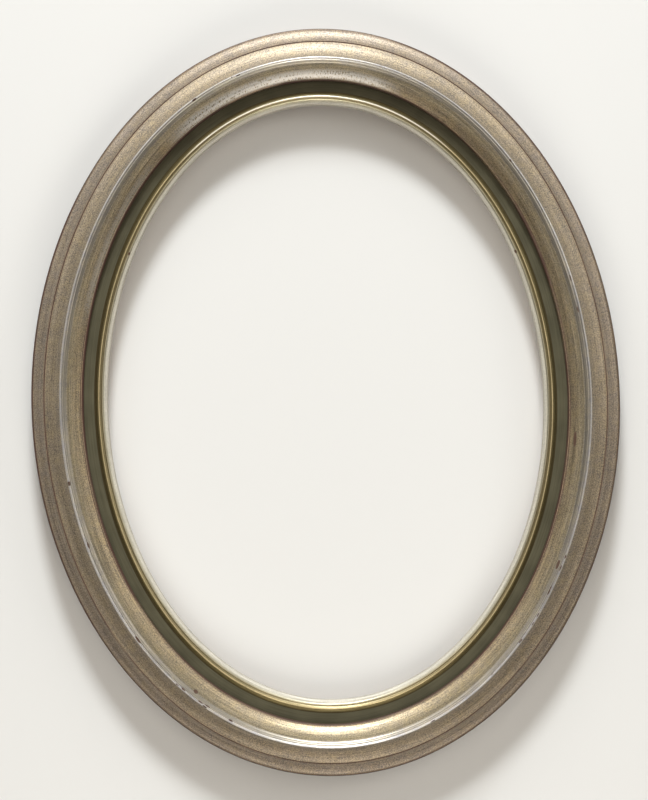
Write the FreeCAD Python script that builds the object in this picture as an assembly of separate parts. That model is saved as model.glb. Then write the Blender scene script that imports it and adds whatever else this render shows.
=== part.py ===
"""Oval picture frame: a turned moulding of four glued segments, a sight liner and its back fittings.

The frame lies on its back. Z points out of the front, Y to the top of the oval and X to its right
as seen from the front. The origin is on the back plane, in the middle of the oval.

The moulding is oval turning: every ring of it is an ellipse, and from one ring to the next both
half axes shrink by the same inset. So a place on the moulding is an inset from the outer edge, a
height over the back and an angle, counted from the top of the oval towards its right.
"""
import FreeCAD
import Part
import math
import os

os.makedirs("parts", exist_ok=True)
V = FreeCAD.Vector

# Size of the oval
frame_width = 185.0
frame_height = 235.0
half_width = frame_width / 2
half_height = frame_height / 2

# Outer edge of the moulding
edge_height = 10.9
edge_ease = 0.6

# First step: a small cove that climbs inwards to an arris
first_cove_width = 3.0
first_cove_rise = 2.4
first_cove_bow = 0.42
arris_width = 0.6
arris_rise = 0.15

# Second step: a wider cove that climbs to the crest
second_cove_width = 4.95
second_cove_rise = 3.3
second_cove_bow = 0.75

# Crest bead, with a fine groove behind it
crest_width = 0.8
crest_rise = 0.05
crest_bow = 0.45
crest_quirk_width = 0.1
crest_quirk_depth = 0.1

# Rounded shoulder, the scoop that falls to the sight, and the nosing at its foot
shoulder_width = 1.55
shoulder_drop = 0.75
shoulder_bow = 0.3
scoop_width = 4.1
scoop_fall = 4.65
scoop_bow = 0.65
nosing_width = 0.7
nosing_fall = 0.6

# Back of the moulding: a seat for the liner, its wall, and a ledge for the fittings
liner_seat_height = 9.7
liner_seat_width = 2.0
ledge_height = 2.8
back_band_width = 5.9

# Sight liner: flat channel, small bead, sight bead that falls to the opening, and behind them the
# rebate that takes glass and picture
glue_line = 0.1
channel_width = 4.2
small_bead_width = 1.0
small_bead_lift = 0.45
small_bead_bow = 0.55
bead_hollow_width = 0.25
bead_hollow_drop = 0.3
sight_bead_width = 0.6
sight_bead_lift = 0.15
sight_slope_width = 1.0
sight_slope_fall = 0.5
sight_edge_width = 0.45
sight_edge_fall = 0.8
rebate_depth = 6.3
liner_wall = 2.8
liner_back_gap = 0.3

# Joints between the segments, and the hidden key in each
joint_angle = 47.5
key_length = 16.0
key_width = 8.4
key_thickness = 3.0
key_height = 5.2
key_inset = 3.4

# Turn buttons, which hold the back board in, and their screws
button_angle = 28.0
open_swing = 90.0
button_thickness = 1.0
button_pivot_radius = 3.5
button_tip_radius = 2.3
button_reach = 11.0
button_gap = 0.1
pivot_clearance = 0.08
screw_radius = 1.25
screw_length = 10.0
screw_head_radius = 2.5
screw_head_height = 1.2
screw_slot_width = 0.6
screw_slot_depth = 0.5
pilot_clearance = 0.05

# Sawtooth hanger on the ledge at the top, and its two nails
hanger_length = 32.0
hanger_height = 6.0
hanger_thickness = 0.6
hanger_corner = 1.6
hanger_clearance = 0.4
hanger_tab = 6.0
hanger_joggle = 1.0
hanger_lift = 0.9
tooth_count = 9
tooth_depth = 1.3
nail_radius = 0.6
nail_length = 8.0
nail_head_radius = 1.4
nail_head_height = 0.5
nail_inset = 3.0

# How near the flats of a round stretch come to it, how far cuts run past, and how near seams meet
turning_tolerance = 0.12
overrun = 2.0
sew_tolerance = 0.001


def heading(angle):
    """Sine and cosine of an angle that is counted from the top of the oval."""
    return math.sin(math.radians(angle)), math.cos(math.radians(angle))


def place(inset, height, angle):
    """The point of the moulding at an inset, a height and an angle."""
    across, along = heading(angle)
    return V((half_width - inset) * across, (half_height - inset) * along, height)


def round_points(start, end, bow):
    """Points after the start on a round stretch of a profile, near enough for the turning tolerance.

    A bow over zero swells the stretch, and a bow under zero hollows it.
    """
    step_in = end[0] - start[0]
    step_up = end[1] - start[1]
    half_turn = 2 * math.atan2(2 * bow, math.hypot(step_in, step_up))
    radius = math.hypot(step_in, step_up) / (2 * math.sin(half_turn))
    reach = 1 / math.tan(half_turn) / 2
    centre_in = (start[0] + end[0]) / 2 + step_up * reach
    centre_up = (start[1] + end[1]) / 2 - step_in * reach
    flat_turn = 2 * math.acos(1 - turning_tolerance / abs(radius))
    count = math.ceil(2 * abs(half_turn) / flat_turn)
    from_centre = (start[0] - centre_in, start[1] - centre_up)
    points = []
    for number in range(1, count):
        turn = -2 * half_turn * number / count
        cosine, sine = math.cos(turn), math.sin(turn)
        points.append((centre_in + from_centre[0] * cosine - from_centre[1] * sine,
                       centre_up + from_centre[0] * sine + from_centre[1] * cosine))
    return points + [end]


def oval_curve(inset, height, start, end):
    """The exact stretch of an ellipse that one point of a profile draws between two angles."""
    half = (end - start) / 2
    middle_weight = math.cos(math.radians(half))
    poles = [place(inset, height, start), place(inset, height, start + half), place(inset, height, end)]
    poles[1] = V(poles[1].x / middle_weight, poles[1].y / middle_weight, height)
    curve = Part.BSplineCurve()
    curve.buildFromPolesMultsKnots(poles, [3, 3], [0.0, 1.0], False, 2, [1.0, middle_weight, 1.0])
    return curve.toShape()


def turned_face(first, last, start, end):
    """The surface that the line between two points of a profile sweeps between two angles."""
    outer = oval_curve(first[0], first[1], start, end)
    inner = oval_curve(last[0], last[1], start, end)
    if abs(first[1] - last[1]) > sew_tolerance:
        return Part.makeRuledSurface(outer, inner)
    sides = [Part.makeLine(place(first[0], first[1], angle), place(last[0], last[1], angle))
             for angle in (start, end)]
    return Part.Face(Part.Wire([outer, sides[1], inner, sides[0]]))


def end_face(profile, angle):
    """The flat end of a segment, where a joint cuts the moulding."""
    corners = [place(inset, height, angle) for inset, height in profile]
    return Part.Face(Part.makePolygon(corners + corners[:1]))


def solid_of(faces):
    """One closed solid from faces that meet edge to edge."""
    skin = Part.makeCompound(faces)
    skin.sewShape(sew_tolerance)
    solid = Part.makeSolid(skin.Shells[0])
    if solid.Volume < 0:
        solid.reverse()
    return solid


def turned_segment(profile, start, end):
    """A stretch of the oval moulding between two joints."""
    faces = [turned_face(first, last, start, end) for first, last in zip(profile, profile[1:] + profile[:1])]
    faces.append(end_face(profile, start))
    faces.append(end_face(profile, end))
    return solid_of(faces)


def turned_ring(profile):
    """A whole oval ring, its surfaces met at the four ends of the axes."""
    faces = []
    for quarter in range(4):
        for first, last in zip(profile, profile[1:] + profile[:1]):
            faces.append(turned_face(first, last, quarter * 90.0, quarter * 90.0 + 90.0))
    return solid_of(faces)


def chain(start, steps):
    """A closed profile from a start and a list of steps: inset, rise and bow, with no bow for a straight."""
    profile = [start]
    for inset, rise, bow in steps:
        there = (profile[-1][0] + inset, profile[-1][1] + rise)
        profile += round_points(profile[-1], there, bow) if bow else [there]
    return profile


# Insets and heights that several pieces share
rise_to_crest = edge_ease + first_cove_rise + arris_rise + second_cove_rise
nosing_inset = (edge_ease + first_cove_width + arris_width + second_cove_width + crest_width
                + crest_quirk_width + shoulder_width + scoop_width + nosing_width)
nosing_height = (edge_height + rise_to_crest + crest_rise - crest_quirk_depth - shoulder_drop
                 - scoop_fall - nosing_fall)
liner_wall_inset = nosing_inset - liner_seat_width
liner_outer_inset = liner_wall_inset + glue_line
rebate_inset = liner_outer_inset + liner_wall
sight_inset = (nosing_inset + channel_width + small_bead_width + bead_hollow_width + sight_bead_width
               + sight_slope_width + sight_edge_width)
sight_height = (liner_seat_height + small_bead_lift - bead_hollow_drop + sight_bead_lift
                - sight_slope_fall - sight_edge_fall)
pivot_inset = (back_band_width + liner_wall_inset) / 2


def rim_profile():
    """The moulding's section, from the back over the front and round to the back again."""
    return chain((0.0, 0.0), [
        (0.0, edge_height, 0.0),
        (edge_ease, edge_ease, 0.0),
        (first_cove_width, first_cove_rise, -first_cove_bow),
        (arris_width, arris_rise, 0.0),
        (second_cove_width, second_cove_rise, -second_cove_bow),
        (crest_width, crest_rise, crest_bow),
        (crest_quirk_width, -crest_quirk_depth, 0.0),
        (shoulder_width, -shoulder_drop, shoulder_bow),
        (scoop_width, -scoop_fall, -scoop_bow),
        (nosing_width, -nosing_fall, 0.0),
        (0.0, liner_seat_height - nosing_height, 0.0),
        (-liner_seat_width, 0.0, 0.0),
        (0.0, ledge_height - liner_seat_height, 0.0),
        (back_band_width - liner_wall_inset, 0.0, 0.0),
        (0.0, -ledge_height, 0.0),
    ])


def liner_profile():
    """The liner's section: a channel and two beads in front, an open rebate behind."""
    back = ledge_height + liner_back_gap
    return chain((liner_outer_inset, back), [
        (0.0, liner_seat_height - back, 0.0),
        (nosing_inset + channel_width - liner_outer_inset, 0.0, 0.0),
        (small_bead_width, small_bead_lift, small_bead_bow),
        (bead_hollow_width, -bead_hollow_drop, 0.0),
        (sight_bead_width, sight_bead_lift, 0.0),
        (sight_slope_width, -sight_slope_fall, 0.0),
        (sight_edge_width, -sight_edge_fall, 0.0),
        (0.0, rebate_depth - sight_height, 0.0),
        (rebate_inset - sight_inset, 0.0, 0.0),
        (0.0, back - rebate_depth, 0.0),
    ])


def stand(shape, inset, height, angle, swing=0.0):
    """Moves a shape that was drawn pointing along minus Y, so that it points inwards at an angle.

    A swing turns it further about its own place, anticlockwise as seen from the front.
    """
    turn = FreeCAD.Rotation(V(0, 0, 1), swing - angle)
    return shape.transformed(FreeCAD.Placement(place(inset, height, angle), turn).toMatrix())


def joint_key(angle, room):
    """The flat key across a joint, or with room round it, the slot that takes it."""
    length = key_length + 2 * room
    width = key_width + 2 * room
    thickness = key_thickness + 2 * room
    block = Part.makeBox(length, width, thickness, V(-length / 2, room - width, -room))
    return stand(block, key_inset, key_height, angle)


def squared(angle):
    """The swing that sets a fitting square to the curve of the ledge, not to the section there."""
    across, along = heading(angle)
    square = math.atan2((half_height - pivot_inset) * across, (half_width - pivot_inset) * along)
    return (angle - math.degrees(square) + 180.0) % 360.0 - 180.0


def turn_button(angle):
    """A flat metal button with a wide pivot end and a narrow tip, swung aside along the ledge.

    Turned inwards from here, the tip reaches over the rebate and holds a back board in. It is open
    because the frame is empty, and it points from the nearer end of the oval towards its side.
    """
    distance = button_reach - button_tip_radius
    lean = math.acos((button_pivot_radius - button_tip_radius) / distance)
    across, along = math.sin(lean), math.cos(lean)
    tip = V(0, -distance, 0)
    big_right = V(button_pivot_radius * across, -button_pivot_radius * along, 0)
    big_left = V(-big_right.x, big_right.y, 0)
    small_right = tip + V(button_tip_radius * across, -button_tip_radius * along, 0)
    small_left = V(-small_right.x, small_right.y, 0)
    outline = Part.Wire([
        Part.Arc(big_right, V(0, button_pivot_radius, 0), big_left).toShape(),
        Part.makeLine(big_left, small_left),
        Part.Arc(small_left, V(0, -button_reach, 0), small_right).toShape(),
        Part.makeLine(small_right, big_right),
    ])
    plate = Part.Face(outline).extrude(V(0, 0, -button_thickness))
    hole = Part.makeCylinder(screw_radius + pivot_clearance, button_thickness + 2 * overrun,
                             V(0, 0, -button_thickness - overrun))
    aside = math.copysign(open_swing, math.sin(math.radians(2 * angle)))
    return stand(plate.cut(hole), pivot_inset, ledge_height - button_gap, angle, squared(angle) + aside)


def pin(radius, length, head_radius, head_height):
    """A blunt old screw or nail that points up, with the seat of its flat head at the origin."""
    corners = [
        V(0, 0, -head_height),
        V(head_radius, 0, -head_height),
        V(head_radius, 0, 0),
        V(radius, 0, 0),
        V(radius, 0, length),
        V(0, 0, length),
    ]
    return Part.Face(Part.makePolygon(corners + corners[:1])).revolve(V(0, 0, 0), V(0, 0, 1), 360)


def button_screw(angle):
    """The slotted screw that a turn button pivots on."""
    screw = pin(screw_radius, screw_length, screw_head_radius, screw_head_height)
    slot = Part.makeBox(2 * screw_head_radius + 2 * overrun, screw_slot_width, screw_slot_depth + overrun,
                        V(-screw_head_radius - overrun, -screw_slot_width / 2,
                          -screw_head_height - overrun))
    seat = ledge_height - button_thickness - 2 * button_gap
    return stand(screw.cut(slot), pivot_inset, seat, angle)


def pilot_hole(angle):
    """The hole in the moulding that a button screw is driven into."""
    bore = Part.makeCylinder(screw_radius + pilot_clearance, screw_length + overrun, V(0, 0, -overrun))
    return stand(bore, pivot_inset, ledge_height - button_thickness, angle)


def hanger_top():
    """Height along Y of the hanger's upper edge, clear of the ledge's curved wall."""
    share = (hanger_length / 2) / (half_width - back_band_width)
    return (half_height - back_band_width) * math.sqrt(1 - share * share) - hanger_clearance


def sawtooth_hanger():
    """A steel strip with two flat tabs, lifted between them, with teeth along its lower edge."""
    half = hanger_length / 2
    foot = half - hanger_tab
    crown = foot - hanger_joggle
    top = ledge_height
    low = ledge_height - hanger_thickness
    outer = [(-half, top), (-foot, top), (-crown, top - hanger_lift), (crown, top - hanger_lift),
             (foot, top), (half, top)]
    inner = [(half, low), (foot, low), (crown, low - hanger_lift), (-crown, low - hanger_lift),
             (-foot, low), (-half, low)]
    upper = hanger_top()
    points = [V(x, upper, z) for x, z in outer + inner]
    strip = Part.Face(Part.makePolygon(points + points[:1])).extrude(V(0, -hanger_height, 0))
    corners = [edge for edge in strip.Edges
               if edge.BoundBox.XLength < hanger_joggle / 2 and edge.BoundBox.YLength < hanger_joggle / 2
               and abs(abs(edge.BoundBox.Center.x) - half) < hanger_joggle / 2]
    strip = strip.makeFillet(hanger_corner, corners)
    pitch = 2 * crown / tooth_count
    lower = upper - hanger_height
    for number in range(tooth_count):
        middle = -crown + (number + 0.5) * pitch
        notch = Part.makePolygon([
            V(middle - pitch / 2, lower, low - hanger_lift - overrun),
            V(middle, lower + tooth_depth, low - hanger_lift - overrun),
            V(middle + pitch / 2, lower, low - hanger_lift - overrun),
            V(middle - pitch / 2, lower, low - hanger_lift - overrun),
        ])
        strip = strip.cut(Part.Face(notch).extrude(V(0, 0, hanger_lift + hanger_thickness + 2 * overrun)))
    for side in (-1, 1):
        hole = Part.makeCylinder(nail_radius + pilot_clearance, hanger_thickness + 2 * overrun,
                                 V(side * (half - nail_inset), upper - hanger_height / 2, low - overrun))
        strip = strip.cut(hole)
    return strip


def hanger_nail(side, room):
    """A nail through one tab of the hanger, or with room round it, its hole in the moulding."""
    shift = V(side * (hanger_length / 2 - nail_inset), hanger_top() - hanger_height / 2,
              ledge_height - hanger_thickness)
    if room:
        bore = Part.makeCylinder(nail_radius + room, nail_length + overrun, V(0, 0, -overrun))
        bore.translate(shift)
        return bore
    nail = pin(nail_radius, nail_length, nail_head_radius, nail_head_height)
    nail.translate(shift)
    return nail


def export(name, shape):
    """Writes one sub-part."""
    shape.exportStep("parts/" + name + ".step")
    print(f"{name:28s} valid {shape.isValid()} solids {len(shape.Solids)} volume {shape.Volume:9.1f}")


joints = {
    "top_right": joint_angle,
    "bottom_right": 180.0 - joint_angle,
    "bottom_left": 180.0 + joint_angle,
    "top_left": 360.0 - joint_angle,
}
segments = {
    "rim_top": (-joint_angle, joint_angle),
    "rim_right": (joint_angle, 180.0 - joint_angle),
    "rim_bottom": (180.0 - joint_angle, 180.0 + joint_angle),
    "rim_left": (180.0 + joint_angle, 360.0 - joint_angle),
}
buttons = {
    "top_right": button_angle,
    "bottom_right": 180.0 - button_angle,
    "bottom_left": 180.0 + button_angle,
    "top_left": 360.0 - button_angle,
}

moulding = rim_profile()
for name, (start, end) in segments.items():
    segment = turned_segment(moulding, start, end)
    cutters = [joint_key(angle, glue_line) for angle in joints.values()]
    cutters += [pilot_hole(angle) for angle in buttons.values()]
    cutters += [hanger_nail(side, pilot_clearance) for side in (-1, 1)]
    for cutter in cutters:
        if segment.distToShape(cutter)[0] < sew_tolerance:
            segment = segment.cut(cutter)
    export(name, segment)

export("sight_liner", turned_ring(liner_profile()))
for name, angle in joints.items():
    export("joint_key_" + name, joint_key(angle, 0.0))
for name, angle in buttons.items():
    export("turn_button_" + name, turn_button(angle))
    export("button_screw_" + name, button_screw(angle))
export("sawtooth_hanger", sawtooth_hanger())
for name, side in (("left", -1), ("right", 1)):
    export("hanger_nail_" + name, hanger_nail(side, 0.0))

print(f"sight opening {2 * (half_width - sight_inset):.1f} x {2 * (half_height - sight_inset):.1f} mm")
print(f"rebate {2 * (half_width - rebate_inset):.1f} x {2 * (half_height - rebate_inset):.1f} mm")
print(f"nosing at {nosing_inset:.2f} mm in and {nosing_height:.2f} mm high, sight edge {sight_inset:.2f} mm in")
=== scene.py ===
# %% [markdown]
# # An oval picture frame, dressed in silver leaf
#
# The frame is a wooden moulding, turned on an oval lathe, gilded with silver leaf and toned brown.
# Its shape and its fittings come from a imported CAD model, which stays where it is. This file gives
# each piece its finish, and replaces all pieces but the joint keys with finer meshes, which carry
# the wear, the softened edges and the domed heads. The object's own sizes are written in
# millimetres, and MM turns them into Blender's metres. The camera, the lamps and the table are in
# metres. Z points out of the front, and Y points to the top of the oval.

# %% Load the frame
import bmesh
import bpy
import math
import random
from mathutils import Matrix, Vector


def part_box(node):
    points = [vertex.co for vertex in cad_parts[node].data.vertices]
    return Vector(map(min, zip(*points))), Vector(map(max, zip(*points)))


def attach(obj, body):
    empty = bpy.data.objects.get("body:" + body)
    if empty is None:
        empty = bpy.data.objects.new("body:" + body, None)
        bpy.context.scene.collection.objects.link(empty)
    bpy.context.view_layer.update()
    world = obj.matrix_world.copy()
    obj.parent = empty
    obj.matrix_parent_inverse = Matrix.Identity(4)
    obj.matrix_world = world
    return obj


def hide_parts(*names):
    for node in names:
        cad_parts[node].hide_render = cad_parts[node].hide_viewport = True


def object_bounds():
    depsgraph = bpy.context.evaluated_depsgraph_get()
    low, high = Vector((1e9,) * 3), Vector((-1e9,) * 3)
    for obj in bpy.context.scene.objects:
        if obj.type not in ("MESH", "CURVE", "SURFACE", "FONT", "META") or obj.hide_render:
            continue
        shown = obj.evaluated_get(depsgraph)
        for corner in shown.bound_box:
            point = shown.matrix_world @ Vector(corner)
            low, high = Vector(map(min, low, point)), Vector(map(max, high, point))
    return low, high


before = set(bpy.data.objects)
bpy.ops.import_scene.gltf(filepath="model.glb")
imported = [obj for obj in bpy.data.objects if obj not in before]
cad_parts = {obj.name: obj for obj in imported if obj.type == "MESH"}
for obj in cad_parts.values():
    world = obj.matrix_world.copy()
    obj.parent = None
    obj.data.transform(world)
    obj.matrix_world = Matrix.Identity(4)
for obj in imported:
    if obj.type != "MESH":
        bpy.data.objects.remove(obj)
cad_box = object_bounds()
MM = 0.001
print("CAD nodes:", len(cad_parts))

# %% [markdown]
# ## The moulding's section
#
# A gilder sees a moulding as a chain of steps: a cove, an arris, a wider cove, the crest, a
# shoulder, the scoop and the nosing at the sight. The same chain is written here in millimetres:
# how far each step goes inwards, how far up, and how much it bows. It could be traced from the CAD
# mesh instead, but then its corners would be as coarse as that mesh. Written out, every step can be
# sampled as finely as the finish needs.

# %% Steps of the moulding and the liner
half_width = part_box("rim_right")[1].x / MM
half_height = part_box("rim_top")[1].y / MM
edge_height = 10.9
rim_start = (0.0, 0.0)
rim_steps = [
    (0.0, edge_height, 0.0),  # the outer side
    (0.6, 0.6, 0.17),  # the rounded edge
    (3.35, 2.5, -0.42),  # the outer cove
    (0.25, 0.05, 0.02),  # the arris
    (0.08, -0.08, 0.0),  # the quirk behind it
    (5.07, 3.6, -0.58),  # the wide cove
    (0.4, 0.03, 0.18),  # the thin roll on the crest
    (0.28, -0.2, -0.03),
    (0.55, -0.07, 0.15),  # the second roll
    (1.02, -0.78, 0.16),  # the shoulder
    (4.1, -4.65, -0.65),  # the scoop
    (0.7, -0.6, 0.2),  # the nosing
    (0.0, -1.6, 0.0),
    (-2.0, 0.0, 0.0),  # the nosing's underside, over the liner
    (0.0, -6.9, 0.0),
    (-8.5, 0.0, 0.0),  # the ledge that carries the buttons
    (0.0, -2.8, 0.0),
]
liner_start = (14.5, 3.1)
liner_steps = [
    (0.0, 6.6, 0.0),  # the outer wall
    (5.2, 0.0, 0.0),  # the channel
    (1.0, 0.2, -0.06),  # the foot of the small bead
    (0.75, 0.28, 0.2),  # the small bead
    (0.45, -0.35, -0.08),
    (0.8, -0.02, 0.22),  # the sight bead
    (0.8, -0.3, 0.03),
    (0.4, -0.83, 0.2),
    (0.0, -2.4, 0.0),  # the sight edge
    (-6.6, 0.0, 0.0),  # the face that the glass rests against
    (0.0, -3.2, 0.0),  # the rebate's wall
]
print(f"oval {2 * half_width:.1f} x {2 * half_height:.1f} mm")

# %% [markdown]
# ## From steps to points
#
# A turner's scraper leaves true arcs, so a round step becomes an arc of short chords. A Blender
# curve could hold the arcs, but the materials need to know where each point lies in the section,
# and a plain list of points keeps that.

# %% Sampling a section
chord_length = 0.3
fewest_chords = 6


def arc_points(start, end, bow):
    """Points after the start on an arc from start to end that bows outwards by bow."""
    across, up = end[0] - start[0], end[1] - start[1]
    length = math.hypot(across, up)
    half_turn = 2 * math.atan2(2 * bow, length)
    radius = length / (2 * math.sin(half_turn))
    reach = 1 / math.tan(half_turn) / 2
    centre = ((start[0] + end[0]) / 2 + up * reach, (start[1] + end[1]) / 2 - across * reach)
    count = max(fewest_chords, math.ceil(abs(2 * half_turn * radius) / chord_length))
    arm = (start[0] - centre[0], start[1] - centre[1])
    points = []
    for number in range(1, count + 1):
        turn = -2 * half_turn * number / count
        points.append((centre[0] + arm[0] * math.cos(turn) - arm[1] * math.sin(turn),
                       centre[1] + arm[0] * math.sin(turn) + arm[1] * math.cos(turn)))
    return points


def section_points(start, steps):
    """A closed section from its start and its steps."""
    points = [start]
    for inset, rise, bow in steps:
        end = (points[-1][0] + inset, points[-1][1] + rise)
        points += arc_points(points[-1], end, bow) if bow else [end]
    return points


rim_outline = section_points(rim_start, rim_steps)
liner_outline = section_points(liner_start, liner_steps)
print("points in the outlines:", len(rim_outline), len(liner_outline))

# %% [markdown]
# ## Softened corners
#
# On the real frame the gesso fills corners and rounds edges, and only a softened edge catches the
# light as a fine line. A bevel modifier could do the same, but it would also cut the long rings
# into slivers, so the corners are rounded in the section before it is turned.

# %% Softening the corners
corner_softness = 0.12
# a corner that turns by less belongs to an arc and stays
sharp_corner = math.radians(24)
# a softened corner takes at most this share of the step on either side of it
longest_cut = 0.45


def softened(points):
    """The same section with every sharp corner rounded."""
    result = []
    for number, here in enumerate(points):
        before = points[number - 1]
        after = points[(number + 1) % len(points)]
        into = (here[0] - before[0], here[1] - before[1])
        out = (after[0] - here[0], after[1] - here[1])
        into_length, out_length = math.hypot(*into), math.hypot(*out)
        cosine = (into[0] * out[0] + into[1] * out[1]) / into_length / out_length
        if math.acos(max(-1.0, min(1.0, cosine))) < sharp_corner:
            result.append(here)
            continue
        cut_in = min(corner_softness, longest_cut * into_length) / into_length
        cut_out = min(corner_softness, longest_cut * out_length) / out_length
        first = (here[0] - into[0] * cut_in, here[1] - into[1] * cut_in)
        last = (here[0] + out[0] * cut_out, here[1] + out[1] * cut_out)
        for share in (0.0, 0.25, 0.5, 0.75, 1.0):
            keep = 1 - share
            result.append(tuple(keep * keep * start + 2 * keep * share * middle + share * share * end
                                for start, middle, end in zip(first, here, last)))
    return result


rim_section = softened(rim_outline)
liner_section = softened(liner_outline)
print("points in the sections:", len(rim_section), len(liner_section))

# %% [markdown]
# ## Wear, laid out along the oval
#
# Silver leaf wears through to the red-brown bole on the edges that hands and dusters touch. A
# procedural mask alone would wear every edge alike. This frame isn't worn alike: its edge and its
# nosing show more red on the left and the upper right than elsewhere. So the worn stretches are
# listed by angle, from the top clockwise, and by inset, and noise in the material breaks them up.
# The same list also holds a painted highlight on the small gilt bead at the top of the oval, where
# it faces the lamp.

# %% Worn stretches and single marks
# from and to in degrees, from and to in millimetres of inset, and how strongly the wear shows; on the small
# bead, how strongly the painted highlight shows
wear_and_highlight_stretches = [
    # the arris
    (226, 412, 4.1, 4.36, 0.72),
    (38, 234, 4.12, 4.34, 0.68),
    # a painted highlight: the small bead at the top of the oval, which faces the window lamp, is mixed
    # towards a pale gold
    (322, 398, 20.95, 21.3, 1.0),
    # lines in the scoop and on the nosing
    (22, 62, 15.0, 15.1, 0.66),
    (40, 128, 15.6, 15.75, 0.74),
    (50, 132, 16.02, 16.12, 0.7),
    (232, 292, 15.5, 15.62, 0.68),
    (227, 345, 15.3, 15.45, 0.60),
    (227, 345, 15.85, 16.5, 0.66),
    (345, 409, 15.9, 16.5, 0.58),
    (47, 76, 15.3, 15.5, 0.55),
    (47, 76, 15.85, 16.5, 0.66),
    (76, 227, 16.0, 16.5, 0.60),
    # the outer edge
    (228, 312, -0.1, 0.5, 0.66),
    (10, 74, -0.1, 0.42, 0.66),
    (312, 370, -0.1, 0.25, 0.50),
    (74, 228, -0.1, 0.3, 0.50),
    # a thin line in the scoop
    (112, 162, 13.8, 13.95, 0.55),
]
# where the scoop's silver is painted brighter near the top of the oval, written the same way: partly silver
# rubbed bare, partly a painted reflection of light from below
rubbed_and_sheen_stretches = [
    (322, 382, 13.4, 15.3, 0.85),
    (283, 322, 14.2, 15.3, 0.35),
]
# angle, inset, half length along the oval, half width across it, depth, and how dark
marks = [
    (212.9, 11.6, 0.9, 0.55, 0.30, 1.0),
    (98.0, 14.0, 2.6, 0.5, 0.05, 0.8),
    (15.0, 9.5, 1.3, 0.35, 0.05, 0.5),
    (120.0, 10.9, 1.8, 0.45, 0.06, 0.8),
    (47.0, 9.8, 0.55, 0.3, 0.10, 0.85),
    (333.0, 9.7, 1.0, 0.35, 0.08, 0.9),
    (258.0, 9.6, 0.8, 0.4, 0.08, 0.9),
    (247.0, 10.2, 1.1, 0.3, 0.08, 0.9),
    (228.0, 9.9, 1.5, 0.35, 0.08, 0.9),
    (61.5, 22.6, 0.7, 0.4, 0.08, 0.9),
    (301.0, 22.4, 0.6, 0.4, 0.08, 0.9),
]
# rows of small nicks on the crest: from and to in degrees, and how many
nick_rows = [(115, 160, 9), (203, 217, 6), (340, 352, 2), (66, 84, 2)]
# between which values a nick's measures lie
nick_insets, nick_half_lengths, nick_half_widths = (9.5, 10.3), (0.4, 1.3), (0.15, 0.3)
nick_depth, nick_darkness = 0.06, (0.6, 1.0)
dice = random.Random(7)
for start, end, count in nick_rows:
    for _ in range(count):
        marks.append((dice.uniform(start, end), dice.uniform(*nick_insets),
                      dice.uniform(*nick_half_lengths), dice.uniform(*nick_half_widths),
                      nick_depth, dice.uniform(*nick_darkness)))
print("worn stretches:", len(wear_and_highlight_stretches), "marks:", len(marks))

# %% [markdown]
# ## How worn a place is
#
# Each point of the mesh gets its wear as a number. The wear could be painted on an image instead,
# but an image needs a flat layout of the oval and is only as fine as its pixels. A number on each
# point goes with the mesh and needs neither.

# %% Wear and marks at a place
# a stretch fades out at its ends over so many degrees, and at its sides over so many millimetres
fade_turn = 9
worn_fade, rubbed_fade = 0.15, 0.9
# only marks within so many degrees are looked at
mark_turn_limit = 3
# in a mark's own half lengths: how far it is at its darkest and its deepest, and where each ends
dark_core, dark_end = 0.7, 1.3
dent_core, dent_end = 0.3, 1.2
mean_half_axis = 0.5 * (half_width + half_height)


def smooth(low_end, high_end, value):
    """Zero under the low end, one over the high end, and a soft step between."""
    share = max(0.0, min(1.0, (value - low_end) / (high_end - low_end)))
    return share * share * (3 - 2 * share)


def strength_at(stretches, turn, inset, fade):
    """The strongest stretch of a list at a place. Each fades out at its sides over a width."""
    most = 0.0
    for start, end, first, last, amount in stretches:
        around = (turn - start) % 360
        span = end - start
        if around > span or not first - fade < inset < last + fade:
            continue
        ends = smooth(0, fade_turn, around) * smooth(0, fade_turn, span - around)
        sides = smooth(-fade, fade / 3, inset - first) * smooth(-fade, fade / 3, last - inset)
        most = max(most, amount * ends * sides)
    return most


def turn_past(turn, mark_turn):
    """Degrees from a mark to a place, between -180 and 180."""
    return (turn - mark_turn + 180) % 360 - 180


def marks_at(turn, inset, near):
    """How dark and how deep the marks near a ring are at one of its points."""
    dark, dent = 0.0, 0.0
    for mark_turn, mark_inset, half_long, half_wide, depth, darkness in near:
        aside = turn_past(turn, mark_turn) * math.pi / 180 * mean_half_axis
        reach = math.hypot(aside / half_long, (inset - mark_inset) / half_wide)
        if reach < dark_end:
            dark = max(dark, darkness * (1 - smooth(dark_core, dark_end, reach)))
            dent = max(dent, depth * (1 - smooth(dent_core, dent_end, reach)))
    return dark, dent


left_turn, arris_inset = 270, 4.2
arris_wear = strength_at(wear_and_highlight_stretches, left_turn, arris_inset, worn_fade)
print(f"wear at the arris on the left: {arris_wear:.2f}")

# %% [markdown]
# ## A surface that isn't quite true
#
# Old gesso is never quite even, and that breaks up the long reflections. A displacement texture
# could do this, but an exported mesh would lose it. So a few slow waves round the oval, hundredths
# of a millimetre high, are added to the points themselves.

# %% Slow waves
wave_count = 14
# how often a wave rises round the oval, and how much it slants inwards
wave_rates, wave_slopes = (3, 40), (-0.25, 0.25)
slope_factor = 3
# the usual height of all waves together, in millimetres
unevenness = 0.018
waves = [(dice.uniform(*wave_rates), dice.uniform(0, 2 * math.pi), dice.uniform(*wave_slopes))
         for _ in range(wave_count)]


def waver(turn, inset):
    """A slow unevenness of the turned surface, in millimetres."""
    total = sum(math.sin(round(rate) * math.radians(turn) + phase + slope * inset * slope_factor)
                for rate, phase, slope in waves)
    return unevenness * total / math.sqrt(len(waves))


print("rises of the waves round the oval:", sorted(round(rate) for rate, _, _ in waves))

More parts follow.
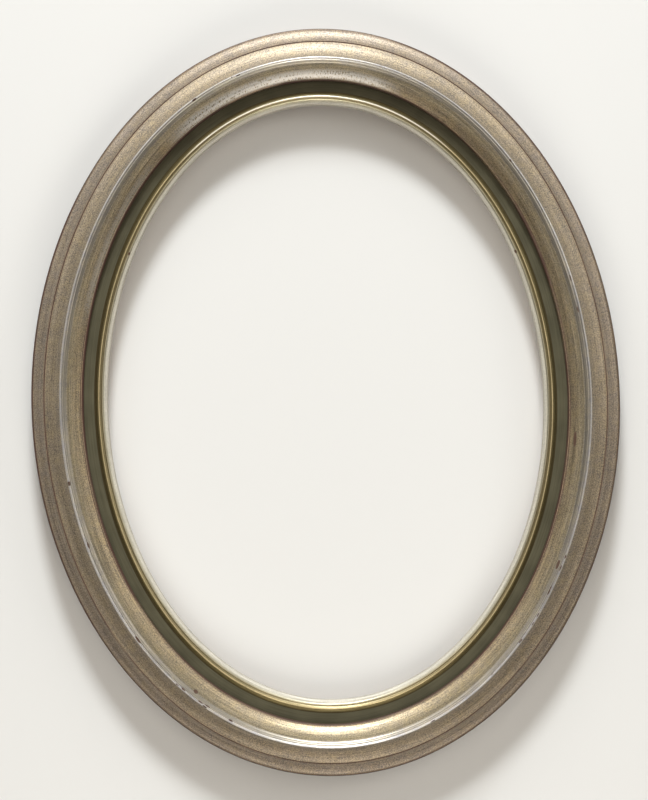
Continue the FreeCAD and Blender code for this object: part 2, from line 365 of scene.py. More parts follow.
# %% [markdown]
# ## Turning a section round the oval
#
# On an oval lathe every ring is an ellipse, and both half axes shrink by the same inset. Blender's
# Screw modifier turns only circles, and a curve with a bevel object keeps the section square to the
# path, which makes other rings. So the mesh is written directly: one ring of points for each step
# round the oval. Each point also keeps where it is, as attributes for the materials: its inset,
# its way along the oval, its way along the section, and how worn, dark and rubbed it is.

# %% Rings of points
columns = 1440
top = cad_box[1].z / MM
# the way along the oval is measured at this inset, in the wide cove
run_inset = 8.0
# heights over which marks, wear and waves show
marked_above, worn_above, wavy_above = 8.0, 9.0, edge_height - 1.5
# dents and waves grow from nothing to their full depth between these heights
relief_none, relief_full = 8.5, 9.6
# the outermost strip stays true
true_edge = 0.3


def along_oval(inset):
    """Millimetres along the oval at each column, at an inset."""
    wide, tall = half_width - inset, half_height - inset
    total, lengths = 0.0, [0.0]
    for column in range(columns):
        turn = 2 * math.pi * (column + 0.5) / columns
        total += math.hypot(wide * math.cos(turn), tall * math.sin(turn)) * 2 * math.pi / columns
        lengths.append(total)
    return lengths


run_lengths = along_oval(run_inset)


def ring_points(section, way, column):
    """One ring: each point's place in metres, and its numbers for the materials."""
    turn = 360.0 * column / columns
    across, along = math.sin(math.radians(turn)), math.cos(math.radians(turn))
    run = run_lengths[column % columns]
    near = [mark for mark in marks if abs(turn_past(turn, mark[0])) < mark_turn_limit]
    points = []
    for (inset, height), so_far in zip(section, way):
        dark, dent = marks_at(turn, inset, near) if height > marked_above else (0.0, 0.0)
        lift = waver(turn, inset) if height > wavy_above and inset > true_edge else 0.0
        level = min(top, height + (lift - dent) * smooth(relief_none, relief_full, height))
        place = ((half_width - inset) * across * MM, (half_height - inset) * along * MM, level * MM)
        worn, rubbed = 0.0, 0.0
        # worn holds the wear, and on the small gilt bead a painted highlight; rubbed holds brighter silver,
        # partly a painted reflection
        if height > worn_above:
            worn = strength_at(wear_and_highlight_stretches, turn, inset, worn_fade)
            rubbed = strength_at(rubbed_and_sheen_stretches, turn, inset, rubbed_fade)
        points.append((place, (inset, run, so_far, worn, dark, rubbed)))
    return points


print(f"way round the wide cove: {run_lengths[-1]:.0f} mm in {columns} steps")

# %% [markdown]
# ## From rings to a mesh
#
# Four-sided faces join each ring to the next. A segment of the moulding is closed at both ends by
# one large face, with points of its own, so that the smooth shading of the leaf stops at the joint.
# The faces could be made one by one with bmesh, but lists that are filled first and handed over at
# once are far quicker for a mesh of this size.

# %% Turning a mesh
def put_in_scene(name, data):
    """A new object in the scene, with its mesh, lamp or camera."""
    made = bpy.data.objects.new(name, data)
    bpy.context.scene.collection.objects.link(made)
    return made


def turned_mesh(name, section, first_column, last_column, finish_of, materials):
    """A mesh of the section between two columns, closed at its ends unless it goes all round.

    finish_of gives the number of the material for a stretch of the section, from the inset and
    the height of its middle.
    """
    whole = last_column - first_column == columns
    rings = range(first_column, last_column + (0 if whole else 1))
    count = len(section)
    steps = [math.hypot(here[0] - before[0], here[1] - before[1])
             for here, before in zip(section, section[-1:] + section[:-1])]
    way = [sum(steps[1:number + 1]) for number in range(count)]
    stretches = zip(section, section[1:] + section[:1])
    ring_finish = [finish_of((here[0] + after[0]) / 2, (here[1] + after[1]) / 2)
                   for here, after in stretches]
    points = [point for column in rings for point in ring_points(section, way, column)]
    faces, numbers = [], []
    for ring in range(len(rings) if whole else len(rings) - 1):
        here, there = ring * count, (ring + 1) % len(rings) * count
        for number in range(count):
            after = (number + 1) % count
            faces.append((here + number, there + number, there + after, here + after))
        numbers += ring_finish
    if not whole:
        last = (len(rings) - 1) * count
        for end in (range(count), range(last + count - 1, last - 1, -1)):
            faces.append(tuple(range(len(points), len(points) + count)))
            numbers.append(len(materials) - 1)
            points += [points[number] for number in end]
    mesh = bpy.data.meshes.new(name)
    mesh.from_pydata([place for place, _ in points], [], faces)
    mesh.polygons.foreach_set("material_index", numbers)
    mesh.polygons.foreach_set("use_smooth", [len(face) == 4 for face in faces])
    for number, title in enumerate(("inset", "run", "way", "worn", "dark", "rubbed")):
        attribute = mesh.attributes.new(title, "FLOAT", "POINT")
        attribute.data.foreach_set("value", [values[number] for _, values in points])
    for material in materials:
        mesh.materials.append(material)
    mesh.update()
    print(f"{name}: {len(points)} points, {len(faces)} faces")
    return put_in_scene(name, mesh)


# %% [markdown]
# ## A short way to write a material
#
# Every finish here is made of nodes. Written with the plain calls, each node takes five lines, and
# the idea gets lost. This helper makes a node, sets its settings and fills its sockets in one call:
# a socket is filled with a number or a colour, or joined to another node's output. Its short
# methods stand for the few nodes that every finish here uses.

# %% Node helper
class Finish:
    """A material under way: its nodes, its Principled shader and its output."""

    def __init__(self, name):
        self.material = bpy.data.materials.new(name)
        self.material.use_nodes = True
        self.tree = self.material.node_tree
        self.shader = self.tree.nodes["Principled BSDF"]

    def node(self, kind, sockets, output=0, **settings):
        """Adds a node and gives back one of its outputs."""
        made = self.tree.nodes.new("ShaderNode" + kind)
        for name, value in settings.items():
            setattr(made, name, value)
        for key, value in sockets.items():
            self.fill(made.inputs[key], value)
        return made.outputs[output]

    def fill(self, socket, value):
        """Joins a socket to an output, or sets it."""
        if isinstance(value, bpy.types.NodeSocket):
            self.tree.links.new(value, socket)
        elif isinstance(value, tuple) and len(value) == 3 and len(socket.default_value) == 4:
            socket.default_value = (*value, 1.0)
        else:
            socket.default_value = value

    def attribute(self, name):
        """A number that the mesh keeps for each of its points."""
        return self.node("Attribute", {}, output="Fac", attribute_name=name)

    def scaled(self, vector, factor):
        """A place or a colour, times a number."""
        return self.node("VectorMath", {0: vector, "Scale": factor}, operation="SCALE")

    def place(self, size):
        """The place on the object, so that one unit is size millimetres."""
        return self.scaled(self.node("TexCoord", {}, output="Object"), 1 / (size * MM))

    def stretched(self, rates):
        """The place on the object, with its own number of units in a metre along each axis."""
        where = self.node("TexCoord", {}, output="Object")
        return self.node("VectorMath", {0: where, 1: rates}, operation="MULTIPLY")

    def turned(self, run_rate, way_rate):
        """The place along the oval and along the section, each with its units in a millimetre."""
        return self.node("CombineXYZ", {0: self.times(self.attribute("run"), run_rate),
                                        1: self.times(self.attribute("way"), way_rate)})

    def noise(self, vector, detail=2.0, rough=0.5):
        """Noise between about 0.2 and 0.8."""
        return self.node("TexNoise", {"Vector": vector, "Scale": 1.0, "Detail": detail, "Roughness": rough})

    def math(self, operation, first, second):
        """A sum, product or comparison of two numbers."""
        return self.node("Math", {0: first, 1: second}, operation=operation)

    def plus(self, first, second):
        """The sum of two numbers."""
        return self.math("ADD", first, second)

    def times(self, first, second):
        """The product of two numbers."""
        return self.math("MULTIPLY", first, second)

    def sway(self, noise, amount):
        """Noise about zero, times an amount."""
        return self.times(self.math("SUBTRACT", noise, 0.5), amount)

    def line(self, value, low_end, high_end, low_out=0.0, high_out=1.0, **settings):
        """A straight way from one value to another, level beyond its ends."""
        return self.node("MapRange", {"Value": value, "From Min": low_end, "From Max": high_end,
                                      "To Min": low_out, "To Max": high_out}, **settings)

    def ramp(self, value, low_end, high_end, low_out=0.0, high_out=1.0):
        """The same way, with soft ends."""
        return self.line(value, low_end, high_end, low_out, high_out, interpolation_type="SMOOTHSTEP")

    def mix(self, share, first, second):
        """One colour over another. A Mix node's sockets for colours are 6 and 7, and its output 2."""
        return self.node("Mix", {0: share, 6: first, 7: second}, output=2, data_type="RGBA")

    def zones(self, value, stops):
        """Colours along a value: a list of places, each with its colour."""
        start, end = stops[0][0], stops[-1][0]
        made = self.tree.nodes.new("ShaderNodeValToRGB")
        self.tree.links.new(self.line(value, start, end), made.inputs[0])
        made.color_ramp.interpolation = "EASE"
        elements = made.color_ramp.elements
        while len(elements) < len(stops):
            elements.new(0.5)
        for element, (place, colour) in zip(elements, stops):
            element.position = (place - start) / (end - start)
            element.color = (*colour, 1.0)
        return made.outputs[0]

    def bump(self, height, depth, below=None):
        """A relief of a depth in millimetres, on its own or over another."""
        sockets = {"Height": height, "Distance": depth * MM, "Strength": 1.0}
        if below is not None:
            sockets["Normal"] = below
        return self.node("Bump", sockets)

    def set(self, **sockets):
        """Fills sockets of the shader. An underscore stands for a space."""
        for name, value in sockets.items():
            self.fill(self.shader.inputs[name.replace("_", " ")], value)
        return self.material


# %% [markdown]
# ## The toner's colours
#
# The silver is toned with a thin brown glaze. It pools in the coves and beside the rolls, and is
# wiped off the crest, so its colour follows the section. A mask of hollows from a shader could
# find the pools, but it sees only what is hollow and not where a hand wiped. So the colours are
# listed by inset, and blended from one to the next.

# %% Colours of the leaf
bole_colour = (0.070, 0.030, 0.020)
grime_colour = (0.095, 0.052, 0.034)
# the brighter silver on the scoop near the top: partly rubbed silver, partly a painted reflection
rubbed_silver_and_sheen = (0.80, 0.785, 0.755)
cool_tint, warm_tint = (0.97, 0.99, 1.13), (1.03, 1.0, 0.93)
# the toner along the section, by inset in millimetres
leaf_zones = [
    (0.0, (0.10, 0.06, 0.04)),
    (0.5, (0.19, 0.14, 0.09)),
    (0.9, (0.35, 0.29, 0.215)),
    (3.3, (0.35, 0.29, 0.215)),
    (3.9, (0.31, 0.245, 0.17)),
    (4.2, (0.19, 0.14, 0.095)),
    (4.45, (0.33, 0.265, 0.175)),
    (5.0, (0.38, 0.315, 0.22)),
    (7.5, (0.37, 0.305, 0.21)),
    (9.15, (0.33, 0.275, 0.195)),
    (9.35, (0.70, 0.685, 0.65)),
    (9.8, (0.66, 0.64, 0.60)),
    (10.05, (0.36, 0.33, 0.27)),
    (10.3, (0.46, 0.43, 0.365)),
    (10.65, (0.38, 0.345, 0.27)),
    (11.2, (0.40, 0.36, 0.285)),
    (11.8, (0.41, 0.35, 0.235)),
    (13.4, (0.42, 0.345, 0.22)),
    (15.0, (0.37, 0.295, 0.18)),
    (15.8, (0.30, 0.23, 0.145)),
    (16.4, (0.18, 0.125, 0.08)),
]
print("zones of toner:", len(leaf_zones))

# %% [markdown]
# ## Silver leaf, toned and rubbed
# The leaf lies over red-brown bole. The glaze is stippled on, so that the silver has a fine dark
# speckle, and it is rougher than polished metal, because it lies on gesso. The finish could be a
# plain metal with a noise for roughness, but then the speckle would read as dirt on steel. Here
# noises of several sizes drive one tone between glaze and silver, the turning marks are noises
# stretched along the oval, and the mesh's own attributes say where the bole shows and where the
# silver is painted brighter, partly as rubbed silver and partly as a painted reflection.

# %% Silver leaf
def silver_leaf():
    """Toned silver leaf on the moulding's front and side."""
    finish = Finish("toned_silver_leaf")
    inset = finish.attribute("inset")
    # specks and clouds, and then marks that run along the oval or across it
    speckle = finish.noise(finish.place(0.36), detail=3.0, rough=0.6)
    stipple = finish.noise(finish.place(0.17), detail=1.0)
    cloud = finish.noise(finish.place(2.6), detail=3.0, rough=0.55)
    drift = finish.noise(finish.place(11.0))
    streak = finish.noise(finish.turned(0.05, 1.7), detail=4.0, rough=0.7)
    lines = finish.noise(finish.turned(0.025, 3.6))
    dashes = finish.noise(finish.turned(2.2, 0.9), detail=3.0, rough=0.65)
    # the crest is burnished smooth, and the scoop shows more of the strokes
    on_crest = finish.times(finish.ramp(inset, 9.1, 9.3), finish.ramp(inset, 11.6, 11.1))
    in_scoop = finish.times(finish.ramp(inset, 10.9, 11.8), finish.ramp(inset, 16.6, 16.2))
    # one tone from dark glaze to bright silver
    grain = finish.plus(finish.sway(speckle, 3.3), finish.sway(stipple, 1.8))
    grain = finish.times(grain, finish.ramp(on_crest, 0.0, 1.0, 1.0, 0.25))
    tone = finish.plus(grain, finish.sway(cloud, 0.4))
    tone = finish.plus(tone, finish.sway(drift, 0.35))
    tone = finish.plus(tone, finish.sway(lines, 1.5))
    tone = finish.plus(tone, finish.sway(streak, finish.ramp(in_scoop, 0.0, 1.0, 0.7, 2.4)))
    toned = finish.scaled(finish.zones(inset, leaf_zones), finish.line(tone, -0.7, 0.7, 0.40, 1.60))
    warm = finish.line(finish.plus(finish.sway(cloud, 1.0), finish.sway(speckle, 0.8)), -0.3, 0.3)
    tint = finish.mix(warm, cool_tint, warm_tint)
    colour = finish.node("VectorMath", {0: toned, 1: tint}, operation="MULTIPLY")
    # brightened silver, which is partly a painted reflection, bare bole and dark marks, each frayed by the
    # noises
    broken = finish.ramp(finish.plus(dashes, finish.sway(streak, 0.5)), 0.34, 0.50)
    colour = finish.mix(finish.times(finish.attribute("rubbed"), broken), colour, rubbed_silver_and_sheen)
    frayed = finish.plus(finish.sway(speckle, 0.55), finish.sway(streak, 0.9))
    bare = finish.ramp(finish.plus(finish.attribute("worn"), frayed), 0.42, 0.66)
    colour = finish.mix(bare, colour, bole_colour)
    dark = finish.ramp(finish.plus(finish.attribute("dark"), finish.sway(speckle, 1.0)), 0.35, 0.7)
    colour = finish.mix(dark, colour, grime_colour)
    covered = finish.math("MAXIMUM", bare, dark)
    # the dark specks are the roughest and the crest is the smoothest
    rough = finish.ramp(speckle, 0.2, 0.8, 0.66, 0.54)
    rough = finish.math("SUBTRACT", rough, finish.times(in_scoop, 0.13))
    rough = finish.math("SUBTRACT", rough, finish.times(on_crest, 0.24))
    rough = finish.plus(rough, finish.times(covered, 0.1))
    relief = finish.bump(finish.times(speckle, finish.ramp(on_crest, 0.0, 1.0, 1.0, 0.2)), 0.014)
    relief = finish.bump(streak, 0.012, relief)
    relief = finish.bump(finish.times(covered, -1.0), 0.03, relief)
    # the toner is also a thin dull coat over the metal
    return finish.set(Base_Color=colour, Metallic=finish.ramp(covered, 0.0, 1.0, 0.84, 0.05),
                      Roughness=rough, Normal=relief,
                      Coat_Weight=finish.ramp(covered, 0.0, 1.0, 0.3, 0.03),
                      Coat_IOR=1.8, Coat_Roughness=0.42, Coat_Normal=relief)


leaf = silver_leaf()
print(f"{leaf.name}: {len(leaf.node_tree.nodes)} nodes")

# %% [markdown]
# ## Bare lime wood
#
# The back isn't gilded. Each segment is cut from a straight board, so its grain is straight and
# changes direction at every joint, and that is how a joint shows on the back. One wood material
# with the grain along Y would run across two of the segments, so it is made twice, turned.

# %% Bare wood
light_wood, deep_wood = (0.56, 0.40, 0.235), (0.33, 0.205, 0.105)
stain_colour = (0.20, 0.125, 0.07)
# units in a metre, where a unit is half a millimetre across the grain and 14 along it
across_rate, along_rate = 1 / (0.5 * MM), 1 / (14.0 * MM)


def bare_wood(name, grain_along_x, spill=False):
    """Wood, with its grain along X or Y, a little stain, and perhaps the finish's spill at its edge."""
    finish = Finish(name)

    def with_grain(along, across):
        """The place on the object, with one rate along the grain and another across it."""
        return finish.stretched((along, across, across) if grain_along_x else (across, along, across))

    grain = finish.noise(with_grain(along_rate, across_rate), detail=4.0, rough=0.6)
    bands = finish.noise(with_grain(along_rate * 0.7, across_rate * 0.12))
    stain = finish.noise(finish.place(16.0), detail=3.0)
    share = finish.ramp(finish.plus(finish.times(grain, 0.6), finish.times(bands, 0.5)), 0.35, 0.75)
    colour = finish.mix(share, deep_wood, light_wood)
    colour = finish.mix(finish.ramp(stain, 0.5, 0.75, 0.0, 0.45), colour, stain_colour)
    if spill:
        reach = finish.plus(finish.attribute("inset"), finish.times(stain, -3.2))
        colour = finish.mix(finish.ramp(reach, 0.1, -0.7, 0.0, 0.85), colour, bole_colour)
    return finish.set(Base_Color=colour, Roughness=finish.ramp(grain, 0.2, 0.8, 0.72, 0.58),
                      Normal=finish.bump(grain, 0.05))


wood_x = bare_wood("bare_lime_wood_crosswise", grain_along_x=True, spill=True)
wood_y = bare_wood("bare_lime_wood_upright", grain_along_x=False, spill=True)
print("woods:", wood_x.name, wood_y.name)

# %% [markdown]
# ## The moulding's four segments
#
# The rim is glued up from four pieces before it is turned. One whole ring would look the same from
# the front, but the joints show on the back, and each piece takes the place of its own CAD node. So
# the section is turned four times, each time between two joints.

# %% Turn the four segments
# the leaf covers all above the first height, and the outer side down to its bare foot
leaf_above, bare_foot, outer_side = 9.75, 0.6, 0.05


def rim_finish(inset, height):
    """Leaf on the front and the side, wood on the seat, the ledge and the back."""
    seen = height > leaf_above or (inset < outer_side and height > bare_foot)
    return 0 if seen else 1


joint_turn = 47.5
joint_column = round(joint_turn / 360 * columns)
bottom_column = columns // 2
segments = {
    "top": (-joint_column, joint_column, wood_x),
    "right": (joint_column, bottom_column - joint_column, wood_y),
    "bottom": (bottom_column - joint_column, bottom_column + joint_column, wood_x),
    "left": (bottom_column + joint_column, columns - joint_column, wood_y),
}
for side, (start, end, wood) in segments.items():
    piece = turned_mesh("moulding_" + side, rim_section, start, end, rim_finish, [leaf, wood])
    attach(piece, "frame")
    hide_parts("rim_" + side)

# %% [markdown]
# ## Olive paint
#
# The liner's channel is painted a smooth olive. It has no speckle, which is what sets it off from
# the moulding. A flat colour would look like plastic, so a noise stretched along the channel gives
# it faint brush marks, and a soft cloud makes it a little uneven.

# %% Olive paint
olive_colour = (0.086, 0.079, 0.050)


def olive_paint():
    """Smooth olive paint with a soft sheen and faint brush marks along the channel."""
    finish = Finish("olive_channel_paint")
    brush = finish.noise(finish.turned(0.05, 2.6), detail=3.0)
    cloud = finish.noise(finish.place(9.0))
    tone = finish.ramp(finish.plus(finish.times(brush, 0.5), finish.times(cloud, 0.5)), 0.3, 0.7)
    darker, lighter = (tuple(share * part for part in olive_colour) for share in (0.8, 1.2))
    return finish.set(Base_Color=finish.mix(tone, darker, lighter),
                      Roughness=finish.ramp(brush, 0.3, 0.7, 0.5, 0.6),
                      Specular_IOR_Level=0.08, Normal=finish.bump(brush, 0.006))


olive = olive_paint()
print(f"{olive.name}: {len(olive.node_tree.nodes)} nodes")

# %% [markdown]
# ## Pale gilding
#
# Both beads are gilded, thinly. The gilding is yellow on the small bead, darker in the hollow beside
# it and paler towards the opening. Where the small bead's foot meets the paint, the colour is painted
# dark and greenish as shade: it stands for the bead's cast shadow and the shade in the channel's
# corner. One gold would make two equal lines, so its colours are listed by inset, as the toner's are.

# %% Gilding
# the gilding over both beads, by inset in millimetres; the first two stops are painted shade at the small
# bead's foot, all round
gilt_and_shade_zones = [
    (19.7, (0.055, 0.042, 0.02)),
    (20.4, (0.11, 0.09, 0.04)),
    (20.8, (0.40, 0.33, 0.17)),
    (21.2, (0.66, 0.56, 0.32)),
    (21.5, (0.42, 0.35, 0.20)),
    (21.95, (0.28, 0.235, 0.135)),
    (22.3, (0.48, 0.44, 0.31)),
    (22.8, (0.56, 0.525, 0.42)),
    (23.4, (0.62, 0.59, 0.51)),
    (23.9, (0.50, 0.47, 0.40)),
]
# the pale gold of the painted highlight on the small bead at the top of the oval
painted_highlight_gilt = (0.98, 0.93, 0.80)


def gilt():
    """Smooth pale gilding on the liner's beads, thin in places, with painted shade at the small bead's foot
    and a painted highlight on its top.
    """
    finish = Finish("pale_gilt_bead")
    inset = finish.attribute("inset")
    rub = finish.noise(finish.turned(0.08, 2.6), detail=4.0, rough=0.6)
    fine = finish.noise(finish.place(0.5))
    tone = finish.plus(finish.times(rub, 0.8), finish.times(fine, 0.3))
    colour = finish.scaled(finish.zones(inset, gilt_and_shade_zones), finish.line(tone, 0.35, 0.75, 0.68, 1.22))
    # the small bead's stretch at the top of the oval is a painted highlight in pale gold
    colour = finish.mix(finish.attribute("worn"), colour, painted_highlight_gilt)
    dark = finish.ramp(finish.plus(finish.attribute("dark"), finish.sway(fine, 1.0)), 0.35, 0.7)
    colour = finish.mix(dark, colour, grime_colour)
    thin = finish.ramp(inset, 22.5, 23.0)
    metal = finish.times(finish.ramp(dark, 0.0, 1.0, 0.88, 0.0), finish.ramp(thin, 0.0, 1.0, 1.0, 0.35))
    rough = finish.plus(finish.ramp(rub, 0.3, 0.7, 0.42, 0.34), finish.times(thin, 0.2))
    return finish.set(Base_Color=colour, Metallic=metal, Roughness=rough, Normal=finish.bump(fine, 0.004))


gilding = gilt()
print(f"{gilding.name}: {len(gilding.node_tree.nodes)} nodes")

# %% [markdown]
# ## The liner
#
# The liner is one ring, let into the moulding from behind. Its beads could be separate rings, but
# on the real liner they are turned from the same wood, so they are stretches of one mesh with
# their own material.

# %% Turn the liner
channel_end = 19.7
# paint and gilding stop at these heights
paint_above, gilt_above = 9.6, 6.4


def liner_finish(inset, height):
    """Paint in the channel, gilt on the beads and the sight edge, wood elsewhere."""
    if inset < channel_end:
        return 0 if height > paint_above else 2
    return 1 if height > gilt_above else 2


liner = turned_mesh("sight_liner_turned", liner_section, 0, columns, liner_finish, [olive, gilding, wood_y])
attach(liner, "frame")
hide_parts("sight_liner")

# %% [markdown]
# ## The fittings' metals
#
# The buttons are stamped brass, the screws, nails and hanger are zinc-plated steel. Both metals are
# dull and a little dirty: a fitting that shines would be new, and the frame isn't. A single grey
# metal would do from far off, but tarnish gathers in clouds, and that is what dates the fittings.
# The joint keys lie hidden in the rim. They keep their CAD meshes and get plain beech.

# %% Brass, steel and key wood
# units in a metre along each axis, so that the scratches lie across X
scratch_rates = (6000.0, 900.0, 900.0)


def dull_metal(name, colour, tarnish, rough):
    """A plain metal with fine scratches and cloudy tarnish."""
    finish = Finish(name)
    scratch = finish.noise(finish.stretched(scratch_rates))
    cloud = finish.noise(finish.place(2.2), detail=4.0, rough=0.65)
    mixed = finish.mix(finish.ramp(cloud, 0.42, 0.7), colour, tarnish)
    tarnished = finish.ramp(cloud, 0.4, 0.7, rough, rough + 0.2)
    return finish.set(Base_Color=mixed, Metallic=1.0,
                      Roughness=finish.plus(finish.times(scratch, 0.15), tarnished),
                      Normal=finish.bump(scratch, 0.004))


brass = dull_metal("stamped_brass", colour=(0.70, 0.50, 0.22), tarnish=(0.30, 0.19, 0.08), rough=0.28)
zinc = dull_metal("zinc_plated_steel", colour=(0.62, 0.61, 0.57), tarnish=(0.33, 0.31, 0.27), rough=0.30)
key_wood = bare_wood("beech_key_wood", grain_along_x=True)
for name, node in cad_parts.items():
    if name.startswith("joint_key"):
        node.data.materials.clear()
        node.data.materials.append(key_wood)
print("metals:", brass.name, zinc.name, "and for the keys:", key_wood.name)

# %% [markdown]
# ## Buttons and hanger with eased edges
#
# Stamped sheet has no knife edges: the punch draws them round on one side, and handling rounds the
# other. The CAD plates have the right outline, so a copy of each gets a narrow round along its
# sharp edges. A shader's bevel would cost less, but it doesn't travel with an exported model.

# %% Ease the stamped plates
button_easing, hanger_easing = 0.16, 0.09
# points closer than this are one point
same_place = 0.001
# faces that turn by less are one flat, and an edge that turns by more is sharp
flat_turn, sharp_edge = math.radians(1.5), math.radians(40)


def eased_plate(name, width, finish):
    """A copy of a CAD node whose sharp edges are rounded over a width in millimetres."""
    form = bmesh.new()
    form.from_mesh(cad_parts[name].data)
    bmesh.ops.remove_doubles(form, verts=form.verts, dist=same_place * MM)
    bmesh.ops.dissolve_limit(form, angle_limit=flat_turn, verts=form.verts, edges=form.edges)
    sharp = [edge for edge in form.edges if edge.calc_face_angle(0.0) > sharp_edge]
    bmesh.ops.bevel(form, geom=sharp, offset=width * MM, segments=3, profile=0.5, affect="EDGES",
                    clamp_overlap=True)
    for face in form.faces:
        face.smooth = len(face.verts) == 4
    mesh = bpy.data.meshes.new(name + "_eased")
    form.to_mesh(mesh)
    form.free()
    mesh.materials.clear()
    mesh.materials.append(finish)
    return put_in_scene(name + "_eased", mesh)


corners = ("top_right", "bottom_right", "bottom_left", "top_left")
for corner in corners:
    button = eased_plate("turn_button_" + corner, button_easing, brass)
    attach(button, "turn_button_" + corner)
    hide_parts("turn_button_" + corner)
hanger = eased_plate("sawtooth_hanger", hanger_easing, zinc)
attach(hanger, "frame")
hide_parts("sawtooth_hanger")
print("plates eased:", len(corners) + 1)

# %% [markdown]
# ## Round-headed screws and nails
#
# A screw's head is a low dome with a slot sawn across it, a nail's head is a flatter one. A lathe
# outline gives the dome but not the slot, and a boolean cut leaves ragged faces. So a head is a
# grid of rows over a disc, and its height is the dome's, or the slot's floor where that is lower.

# %% Heads and shanks
# how full the dome's outline is, where 2 would be an ellipse
dome_fullness = 2.6
# how far a slot's wall leans outwards
wall_lean = 0.02
# a head's points are spread like these angles' sines, so that they lie close together at its rim
spread_angles = range(-87, 88, 6)
# edges that turn by more are shaded sharp
sharp_shading = math.radians(42)


def head_rows(radius, slot_half, spread):
    """Where the rows of a head lie: close together at its rim, and at both sides of each wall."""
    rows = [share * radius for share in spread if abs(share * radius) > slot_half + wall_lean]
    if slot_half:
        rows += [side * (slot_half + shift) for side in (-1, 1) for shift in (-wall_lean, 0.0)]
    return sorted(rows)


def grid_rim(rows, wide):
    """The numbers of the outer points of a grid, once round."""
    return (list(range(wide)) + [row * wide + wide - 1 for row in range(1, rows)]
            + [(rows - 1) * wide + column for column in range(wide - 2, -1, -1)]
            + [row * wide for row in range(rows - 2, 0, -1)])


def pin_mesh(name, radius, dome, wall, slot_half, slot_floor, shank_radius, shank_length):
    """A domed head that points down, with or without a slot, and a plain shank above it."""
    spread = [math.sin(math.radians(angle)) for angle in spread_angles]
    rows = head_rows(radius, slot_half, spread)
    verts, faces = [], []
    for row in rows:
        reach = math.sqrt(radius ** 2 - row ** 2)
        for share in spread:
            across = share / spread[-1] * reach
            far = min(1.0, math.hypot(across, row) / radius)
            rise = wall + (dome - wall) * (1 - far ** dome_fullness) ** (1 / dome_fullness)
            if slot_half and abs(row) < slot_half - wall_lean / 2:
                rise = min(rise, slot_floor)
            verts.append((across, row, -rise))
    wide = len(spread)
    for row in range(len(rows) - 1):
        for column in range(wide - 1):
            corner = row * wide + column
            faces.append((corner, corner + wide, corner + wide + 1, corner + 1))
    lower = grid_rim(len(rows), wide)
    around = [math.atan2(verts[number][1], verts[number][0]) for number in lower]
    for size, height in ((radius, 0.0), (shank_radius, 0.0), (shank_radius, shank_length)):
        upper = [len(verts) + number for number in range(len(around))]
        verts += [(size * math.cos(turn), size * math.sin(turn), height) for turn in around]
        faces += [(lower[number], lower[number - 1], upper[number - 1], upper[number])
                  for number in range(len(around))]
        lower = upper
    faces.append(tuple(reversed(lower)))
    mesh = bpy.data.meshes.new(name)
    mesh.from_pydata([tuple(value * MM for value in vert) for vert in verts], [], faces)
    mesh.polygons.foreach_set("use_smooth", [len(face) == 4 for face in faces])
    mesh.set_sharp_from_angle(angle=sharp_shading)
    mesh.materials.append(zinc)
    mesh.update()
    return mesh


screw_length, nail_length = 10.0, 8.0
screw = pin_mesh("slotted_screw", radius=2.5, dome=1.2, wall=0.4, slot_half=0.3, slot_floor=0.7,
                 shank_radius=1.25, shank_length=screw_length)
nail = pin_mesh("hanger_nail", radius=1.4, dome=0.5, wall=0.16, slot_half=0.0, slot_floor=0.0,
                shank_radius=0.6, shank_length=nail_length)
print("points in a screw and in a nail:", len(screw.vertices), len(nail.vertices))

# %% [markdown]
# ## Screws and nails in their places
#
# Each stands where its CAD node is. All copies could share one turn, but nobody lines up the slots
# of screws in the back of a frame, so each screw is turned by the dice.

# %% Set the screws and nails
def set_pin(node_name, mesh, length, turn):
    """Stands a pin where its CAD node is, turned about its own axis."""
    low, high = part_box(node_name)
    piece = put_in_scene(node_name + "_domed", mesh)
    piece.location = ((low[0] + high[0]) / 2, (low[1] + high[1]) / 2, high[2] - length * MM)
    piece.rotation_euler = (0.0, 0.0, math.radians(turn))
    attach(piece, "frame")
    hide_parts(node_name)


for corner in corners:
    set_pin("button_screw_" + corner, screw, screw_length, dice.uniform(0, 180))
for side in ("left", "right"):
    set_pin("hanger_nail_" + side, nail, nail_length, 0.0)
print("screws and nails set:", len(corners) + 2)

# %% [markdown]
# ## Camera
#
# The photograph looks straight down on the frame, which leans a little to the left in it. The size
# of a pixel follows from the oval's measured half axes. A longer distance with a longer lens would
# frame it alike, but the crest stands nearer to the camera than the table, and how far it spreads
# outwards in the picture fits a distance of about 1.2 metres.

# %% Camera
picture_width, picture_height = 648, 800
oval_centre_px = (325.6, 402.5)
oval_half_width_px = 294.3
lean = math.radians(2.1)
camera_distance = 1.2
sensor_mm = 36.0
pixel = half_width * MM / oval_half_width_px
camera_data = bpy.data.cameras.new("camera")
camera = put_in_scene("camera", camera_data)
bpy.context.scene.camera = camera
camera_data.sensor_width = sensor_mm
camera_data.lens = sensor_mm * camera_distance / (picture_height * pixel)
aside = (picture_width / 2 - oval_centre_px[0]) * pixel
above = (oval_centre_px[1] - picture_height / 2) * pixel
camera.location = (aside, above, edge_height * MM + camera_distance)
camera.rotation_euler = (0.0, 0.0, -lean)
print(f"lens {camera_data.lens:.0f} mm, pixel {pixel / MM:.4f} mm")

# %% [markdown]
# ## Light
#
# One soft lamp stands at the top of the picture, low enough that the crest throws a shadow across
# the scoop. Its size sets how soft that shadow's edge is. The other lamps stand for the room: the
# wall beside the window, the ceiling and the walls on the other sides, broad and weak, each with
# its own light line on the coves and beads. An even sky fills the rest. A single sky could light
# the leaf just as brightly, but then the coves would lose the bright and dark lines that make them
# readable.

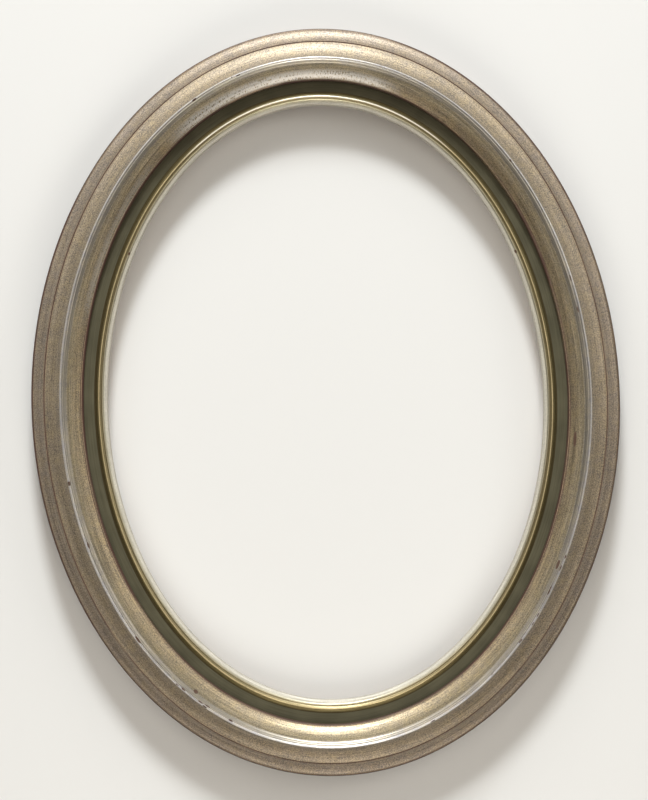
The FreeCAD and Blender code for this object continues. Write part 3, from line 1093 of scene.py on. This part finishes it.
# %% Lamps and sky
def lamp(name, tilt, heading, distance, size, power, colour):
    """A round lamp, leaned from straight above the frame by a tilt and aimed at its middle.

    It leans towards a heading, which is counted from the top of the oval to its right.
    """
    data = bpy.data.lights.new(name, "AREA")
    data.shape = "DISK"
    data.size = size
    data.energy = power
    data.color = colour
    made = put_in_scene(name, data)
    tilt, heading = math.radians(tilt), math.radians(heading)
    made.location = (distance * math.sin(tilt) * math.sin(heading),
                     distance * math.sin(tilt) * math.cos(heading), distance * math.cos(tilt))
    made.rotation_euler = (-tilt, 0.0, -heading)


wall_colour = (1.0, 0.97, 0.92)
lamp("window_lamp", tilt=58.0, heading=0, distance=2.0, size=0.44, power=34.0, colour=(0.955, 0.99, 1.0))
lamp("bright_wall", tilt=61, heading=0, distance=1.0, size=0.5, power=2.7, colour=(1.0, 0.99, 0.97))
lamp("ceiling", tilt=12, heading=0, distance=2.1, size=1.4, power=6.6, colour=(1.0, 0.91, 0.79))
lamp("near_wall", tilt=46, heading=180, distance=0.6, size=0.45, power=1.35, colour=(1.0, 0.94, 0.85))
lamp("left_wall", tilt=56, heading=-42, distance=1.2, size=0.6, power=1.7, colour=wall_colour)
lamp("right_wall", tilt=57, heading=68, distance=1.2, size=0.6, power=2.1, colour=wall_colour)
sky_colour, sky_strength = (1.0, 0.91, 0.80, 1.0), 0.09
world = bpy.data.worlds.new("even_sky")
bpy.context.scene.world = world
world.use_nodes = True
sky = world.node_tree.nodes["Background"]
sky.inputs["Color"].default_value = sky_colour
sky.inputs["Strength"].default_value = sky_strength
print("lamps:", len(bpy.data.lights))

# %% [markdown]
# ## Table
#
# The frame lies on its back on a pale table. The table is far wider than the picture, so that its
# edge never shows and its light reaches the frame from all sides. A shadow catcher would give a
# cleaner edge, but the leaf needs something pale to mirror.

# %% Table
table_colour = (0.765, 0.765, 0.755)
table_reach = 3.0
table_mesh = bpy.data.meshes.new("table")
table_mesh.from_pydata([(-table_reach, -table_reach, 0), (table_reach, -table_reach, 0),
                        (table_reach, table_reach, 0), (-table_reach, table_reach, 0)],
                       [], [(0, 1, 2, 3)])
table_mesh.materials.append(Finish("pale_table").set(Base_Color=table_colour, Roughness=0.75))
table = put_in_scene("table", table_mesh)
bpy.context.scene.view_settings.view_transform = "Standard"
print(f"table: {2 * table_reach:.0f} m wide")
